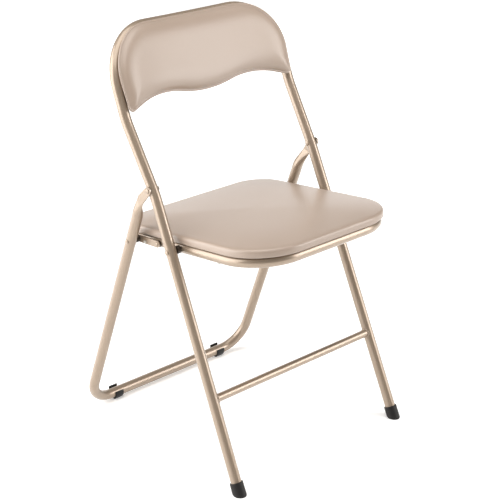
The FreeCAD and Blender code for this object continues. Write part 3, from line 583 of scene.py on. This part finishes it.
def run_nodes(piece, tree, values):
    """Evaluate a Geometry Nodes tree on a piece and keep the result as its plain mesh."""
    modifier = piece.modifiers.new("nodes", "NODES")
    modifier.node_group = tree
    for item in tree.interface.items_tree:
        if item.name in values:
            modifier[item.identifier] = values[item.name]
    bake_modifiers(piece)


def repeat_tree():
    """Set one piece on every point, turned as the point's own attribute says."""
    tree, given = new_tree("repeat_piece", {"Places": "Geometry", "Piece": "Object",
                                            "Piece Scale": "Float", "Finish": "Material"})
    piece = add_node(tree, "GeometryNodeObjectInfo", {"Object": given["Piece"]})
    turn = add_node(tree, "GeometryNodeInputNamedAttribute", {"Name": "turn"}, data_type="FLOAT_VECTOR")
    stand = add_node(tree, "FunctionNodeEulerToRotation", {0: turn.outputs[0]})
    placed = add_node(tree, "GeometryNodeInstanceOnPoints",
                      {"Points": given["Places"], "Instance": piece.outputs["Geometry"],
                       "Rotation": stand.outputs[0], "Scale": given["Piece Scale"]})
    return end_tree(tree, placed.outputs[0], given["Finish"])


repeated = repeat_tree()


def settle(piece, nodes, body):
    """Say which CAD nodes a finished piece stands for and its body."""
    if nodes:
        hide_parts(*nodes)
    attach(piece, body)


def repeat_piece(name, mesh, places, finish, nodes, body):
    """One piece that stands at several (point, rotation) places and rides on one body."""
    spots = bpy.data.meshes.new(name)
    spots.from_pydata([point for point, _ in places], [], [])
    turns = spots.attributes.new("turn", "FLOAT_VECTOR", "POINT")
    for entry, (_, rotation) in zip(turns.data, places):
        entry.vector = rotation.to_euler()
    piece = bpy.data.objects.new(name, spots)
    pattern = bpy.data.objects.new(name + "_pattern", mesh)
    for made in (piece, pattern):
        scene.collection.objects.link(made)
    run_nodes(piece, repeated, {"Piece": pattern, "Piece Scale": 1.0, "Finish": finish})
    bpy.data.objects.remove(pattern)
    piece.data.shade_smooth()
    settle(piece, nodes, body)


def dome(start, height, radius):
    """The profile of a low domed head, from its rim up to its crown."""
    points = [(start, radius * 0.96), (start + height * 0.18, radius)]
    for step in range(1, 8):
        turn = math.pi / 2 * step / 7
        points.append((start + height * (0.18 + 0.82 * math.sin(turn)), radius * math.cos(turn)))
    points[-1] = (start + height, 0.0)
    return points


def set_rivets(name, node, sides, one_headed, body):
    """Domed rivets where the CAD has its own, facing away from the chair's middle."""
    points = [v.co for v in cad_nodes[node].data.vertices if v.co.x * sides[0] > 0]
    near, far = min(abs(p.x) for p in points), max(abs(p.x) for p in points)
    low_z, high_z = min(p.z for p in points), max(p.z for p in points)
    across = (min(p.y for p in points) + max(p.y for p in points)) / 2
    tall, shank = 0.002, 0.003
    start = near if one_headed else near + tall
    length = far - tall - start
    head = dome(length, tall, (high_z - low_z) / 2)
    if one_headed:
        tail = [(0.0, 0.0), (0.0, shank)]
    else:
        tail = [(length - along, radius) for along, radius in head][::-1] + [(0.0, shank)]
    mesh = lathe_mesh(name, tail + [(length, shank)] + head, 32)
    places = [(Vector((side * start, across, (low_z + high_z) / 2)),
               Vector((side, 0, 0)).to_track_quat("Z", "Y")) for side in sides]
    repeat_piece(name, mesh, places, enamel, [node], body)


set_rivets("domed_frame_rivets", "frame_pivot_rivets", (1, -1), False, "front")
set_rivets("domed_seat_rivets", "seat_pivot_rivets", (1, -1), False, "front")
set_rivets("domed_link_rear_rivets", "link_rear_rivets", (1, -1), False, "rear")
set_rivets("domed_link_rivet_left", "link_rivet_left", (1,), True, "link_left")
set_rivets("domed_link_rivet_right", "link_rivet_right", (-1,), True, "link_right")


# ---------------------------------------------------------------- crossbar welds
# A bead of weld runs round each end of the crossbar where it meets the front tube. Its ripples
# show through the enamel.
def bead_tree():
    """Follow a path with a round bead whose size ripples along it."""
    tree, given = new_tree("weld_bead", {"Path": "Geometry", "Bead Radius": "Float", "Pitch": "Float",
                                         "Ripple": "Float", "Finish": "Material"})
    curve = add_node(tree, "GeometryNodeMeshToCurve", {"Mesh": given["Path"]})
    along = add_node(tree, "GeometryNodeSplineParameter")
    turns = add_node(tree, "ShaderNodeMath", {0: along.outputs["Length"], 1: given["Pitch"]},
                     operation="DIVIDE")
    angle = add_node(tree, "ShaderNodeMath", {0: turns.outputs[0], 1: 2 * math.pi}, operation="MULTIPLY")
    wave = add_node(tree, "ShaderNodeMath", {0: angle.outputs[0]}, operation="SINE")
    swell = add_node(tree, "ShaderNodeMath", {0: wave.outputs[0], 1: given["Ripple"], 2: 1.0},
                     operation="MULTIPLY_ADD")
    bead = add_node(tree, "GeometryNodeSetCurveRadius",
                    {"Curve": curve.outputs[0], "Radius": swell.outputs[0]})
    section = add_node(tree, "GeometryNodeCurvePrimitiveCircle",
                       {"Resolution": 12, "Radius": given["Bead Radius"]})
    skin = add_node(tree, "GeometryNodeCurveToMesh",
                    {"Curve": bead.outputs[0], "Profile Curve": section.outputs[0]})
    return end_tree(tree, skin.outputs[0], given["Finish"])


leg_lean = math.radians(24.07)
leg_taper = -0.0088 / 0.5552
leg_foot = Vector((0.2067, -0.21265, 0.0))
tube_radius, bar_radius, bar_run = 0.010, 0.0075, 0.177


def weld_path(side, steps):
    """The line round the crossbar where its wall meets the leaning tube."""
    points = []
    proud = 0.0004
    for step in range(steps):
        turn = 2 * math.pi * step / steps
        y, z = (bar_radius + proud) * math.cos(turn), (bar_radius + proud) * math.sin(turn)
        along = y * math.sin(leg_lean) + z * math.cos(leg_lean)
        beside = y * math.cos(leg_lean) - z * math.sin(leg_lean)
        axis_x = leg_foot.x + leg_taper * (bar_run + along)
        across = axis_x - math.sqrt(tube_radius ** 2 - beside ** 2) - proud
        points.append(Vector((side * across, leg_foot.y + bar_run * math.sin(leg_lean) + y,
                              bar_run * math.cos(leg_lean) + z)))
    return points


def make_weld_beads():
    steps = 144
    points = weld_path(1, steps) + weld_path(-1, steps)
    edges = [(base + i, base + (i + 1) % steps) for base in (0, steps) for i in range(steps)]
    path = bpy.data.meshes.new("weld_beads")
    path.from_pydata(points, edges, [])
    beads = bpy.data.objects.new("weld_beads", path)
    scene.collection.objects.link(beads)
    run_nodes(beads, bead_tree(),
              {"Bead Radius": 0.0017, "Pitch": 0.0021, "Ripple": 0.09, "Finish": enamel})
    beads.data.shade_smooth()
    settle(beads, ["crossbar_welds"], "front")


make_weld_beads()


# ---------------------------------------------------------------- front feet
# Black rubber cups are pushed over the tube's ends. They are cut to stand level on the floor and
# have a rounded sole and lip.
def moulded_piece(name, shape, material):
    """A smooth piece from a finished bmesh."""
    mesh = bpy.data.meshes.new(name)
    shape.to_mesh(mesh)
    shape.free()
    mesh.shade_smooth()
    mesh.materials.append(material)
    piece = bpy.data.objects.new(name, mesh)
    scene.collection.objects.link(piece)
    return piece


def rubber_foot(side):
    """A cup round the leaning tube: level rings at the sole, square rings at the lip."""
    hand = "left" if side > 0 else "right"
    base = Vector((side * leg_foot.x, leg_foot.y, 0))
    axis = Vector((side * leg_taper, math.sin(leg_lean), math.cos(leg_lean))).normalized()
    sideways = axis.cross(Vector((0, 0, 1))).normalized()
    upward = sideways.cross(axis)
    steps, outer, inner, top = 64, 0.0124, 0.01003, 0.024
    arms = [sideways * math.cos(2 * math.pi * i / steps) + upward * math.sin(2 * math.pi * i / steps)
            for i in range(steps)]

    def level(radius, height):
        return [(height - arm.z * radius) / axis.z for arm in arms], radius

    def square(radius, along):
        return [along] * steps, radius

    rings = [level(0.004, 0.0006), level(0.0045, 0.0), level(outer - 0.0016, 0.0),
             level(outer - 0.0005, 0.0005), level(outer, 0.0016)]
    low = rings[-1][0]
    for step in range(1, 6):
        share = step / 5
        rings.append(([a + (top - 0.0011 - a) * share for a in low], outer))
    rings += [square(outer - 0.0003, top - 0.0003), square(outer - 0.001, top), square(inner + 0.0006, top),
              square(inner, top - 0.0004), square(inner, 0.0089)]
    shell = bmesh.new()
    loops = [[shell.verts.new(base + axis * a + arm * radius) for a, arm in zip(alongs, arms)]
             for alongs, radius in rings]
    for i in range(steps):
        j = (i + 1) % steps
        for near, far in zip(loops, loops[1:]):
            shell.faces.new((near[i], near[j], far[j], far[i]))
    shell.faces.new(loops[0][::-1])
    shell.faces.new(loops[-1])
    bmesh.ops.recalc_face_normals(shell, faces=shell.faces)
    foot = moulded_piece("rubber_foot_" + hand, shell, rubber)
    settle(foot, ["front_foot_" + hand], "front")


for foot_side in (1, -1):
    rubber_foot(foot_side)


# ---------------------------------------------------------------- rear glides
# Each black nylon saddle clips round the floor bar from below, with a tab that stands up behind
# it. It is flat underneath and its moulded edges are rounded.
def eased_glide(node, name):
    """A CAD glide with its sharp edges rounded."""
    edge_round, sharp_turn = 0.0006, math.radians(35)
    ease = bmesh.new()
    ease.from_mesh(cad_nodes[node].data)
    bmesh.ops.remove_doubles(ease, verts=ease.verts, dist=2e-5)
    bmesh.ops.dissolve_limit(ease, angle_limit=math.radians(1.0), verts=ease.verts, edges=ease.edges)
    sharp = [e for e in ease.edges if e.is_manifold and e.calc_face_angle(0) > sharp_turn]
    bmesh.ops.bevel(ease, geom=sharp, offset=edge_round, segments=3, profile=0.5, affect="EDGES",
                    clamp_overlap=True)
    bmesh.ops.recalc_face_normals(ease, faces=ease.faces)
    settle(moulded_piece(name, ease, glide_nylon), [node], "rear")


eased_glide("rear_glide_left", "moulded_glide_left")
eased_glide("rear_glide_right", "moulded_glide_right")


# ---------------------------------------------------------------- screws
# Zinc pan-head screws with a cross recess. Four come up through the seat ring into the board,
# and four go through the brackets into the back panel.
def screw_mesh(head_radius, head_height, shank_radius, shank_length):
    """A pan-head screw along Z whose head bears at 0, with a cross cut into its crown."""
    slot_width, point_length = 0.0009, 0.001
    profile = [(-shank_length, 0.0), (-shank_length, shank_radius * 0.6),
               (-shank_length + point_length, shank_radius),
               (0.0, shank_radius)] + dome(0.0, head_height, head_radius)
    screw = bpy.data.objects.new("screw", lathe_mesh("screw", profile, 40))
    cross = bmesh.new()
    for turn in (0, 90):
        bmesh.ops.create_cube(cross, size=1.0, matrix=Matrix.Translation((0, 0, head_height)) @
                              Matrix.Rotation(math.radians(turn), 4, "Z") @
                              Matrix.Diagonal((head_radius * 1.05, slot_width, head_height * 1.3, 1)))
    cross_mesh = bpy.data.meshes.new("cross")
    cross.to_mesh(cross_mesh)
    cross.free()
    cutter = bpy.data.objects.new("cross", cross_mesh)
    for made in (screw, cutter):
        scene.collection.objects.link(made)
    recess = screw.modifiers.new("recess", "BOOLEAN")
    recess.object = cutter
    recess.operation = "DIFFERENCE"
    recess.solver = "EXACT"
    recess.use_self = True
    bake_modifiers(screw)
    mesh = screw.data
    bpy.data.objects.remove(cutter)
    bpy.data.objects.remove(screw)
    return mesh


screw_head_radius, screw_head_height, screw_shank_radius = 0.0038, 0.002, 0.002


def screw_places(node, place, spots):
    """Where a CAD node's screw heads bear; they face down the place's own Z."""
    back = place.inverted()
    points = [back @ v.co for v in cad_nodes[node].data.vertices]
    facing = (place.to_3x3() @ Vector((0, 0, -1))).to_track_quat("Z", "Y")
    places = []
    for x, y in spots:
        low = min(p.z for p in points if math.hypot(p.x - x, p.y - y) < 1.5 * screw_head_radius)
        places.append((place @ Vector((x, y, low + screw_head_height)), facing))
    return places


for screw_name, screw_node, screw_place, screw_rows, screw_body in (
        ("seat_pan_screws", "seat_screws", seat_place, ((0.1708, -0.095), (0.1708, 0.105)), "seat"),
        ("back_pan_screws", "back_screws", back_place, ((0.181, -0.122), (0.075, -0.020)), "front")):
    screw_spots = [(side * x, y) for x, y in screw_rows for side in (-1, 1)]
    screw_shape = screw_mesh(screw_head_radius, screw_head_height, screw_shank_radius, 0.0035)
    repeat_piece(screw_name, screw_shape, screw_places(screw_node, screw_place, screw_spots), zinc,
                 [screw_node], screw_body)


# ---------------------------------------------------------------- seat hem
# The vinyl's cut edge is folded under the board, inside the seat ring, and held by wire staples
# that are driven every few centimetres.
def hem_tree():
    """Follow a closed line with a flat band."""
    tree, given = new_tree("hem_band", {"Path": "Geometry", "Width": "Float", "Thickness": "Float",
                                        "Finish": "Material"})
    curve = add_node(tree, "GeometryNodeMeshToCurve", {"Mesh": given["Path"]})
    section = add_node(tree, "GeometryNodeCurvePrimitiveQuadrilateral",
                       {"Width": given["Width"], "Height": given["Thickness"]}, mode="RECTANGLE")
    upright = add_node(tree, "GeometryNodeSetCurveNormal", {"Curve": curve.outputs[0]}, mode="Z_UP")
    band = add_node(tree, "GeometryNodeCurveToMesh",
                    {"Curve": upright.outputs[0], "Profile Curve": section.outputs[0]})
    return end_tree(tree, band.outputs[0], given["Finish"])


def seat_line(inset, height, count):
    """A line round the seat's underside at an inset from the ring's axis."""
    ring_half, ring_front, ring_rear = 0.1708, 0.1984, 0.1651
    ring_front_radius, ring_rear_radius = 0.084, 0.048
    points = rounded_outline(ring_half - inset, inset - ring_front, ring_rear - inset,
                             ring_front_radius - inset, ring_rear_radius - inset, count)
    return [Vector((p.x, p.y, height)) for p in points]


def make_hem():
    """The folded band under the board, as one closed strip."""
    band_line = seat_line(0.0160, 0.00965, 260)
    path = bpy.data.meshes.new("seat_hem")
    path.from_pydata(band_line, [(i, (i + 1) % len(band_line)) for i in range(len(band_line))], [])
    hem = bpy.data.objects.new("seat_hem", path)
    scene.collection.objects.link(hem)
    run_nodes(hem, hem_tree(), {"Width": 0.018, "Thickness": 0.0008, "Finish": vinyl})
    hem.data.transform(seat_place)
    hem.data.update()
    settle(hem, [], "seat")


def make_staples():
    """Wire staples along the hem: a crown with a leg down at each end."""
    crown_length, crown_depth, wire_width, leg_width, leg_depth = 0.0110, 0.0005, 0.0010, 0.0006, 0.0016
    leg_across = (crown_length - leg_width) / 2
    staple = bmesh.new()
    for length, lift, depth, x in ((crown_length, 0.0, crown_depth, 0.0),
                                   (leg_width, -leg_width, leg_depth, leg_across),
                                   (leg_width, -leg_width, leg_depth, -leg_across)):
        bmesh.ops.create_cube(staple, size=1.0, matrix=Matrix.Translation((x, 0, lift)) @
                              Matrix.Diagonal((length, wire_width, depth, 1)))
    staple_mesh = bpy.data.meshes.new("staple")
    staple.to_mesh(staple_mesh)
    staple.free()
    staple_line = seat_line(0.0185, 0.0089, 36)
    places = []
    for i, point in enumerate(staple_line):
        along = staple_line[(i + 1) % len(staple_line)] - staple_line[i - 1]
        turn = Matrix.Rotation(math.atan2(along.y, along.x), 4, "Z") @ Matrix.Rotation(math.pi, 4, "X")
        places.append((seat_place @ point, (seat_place @ turn).to_quaternion()))
    repeat_piece("seat_staples", staple_mesh, places, zinc, [], "seat")


make_hem()
make_staples()
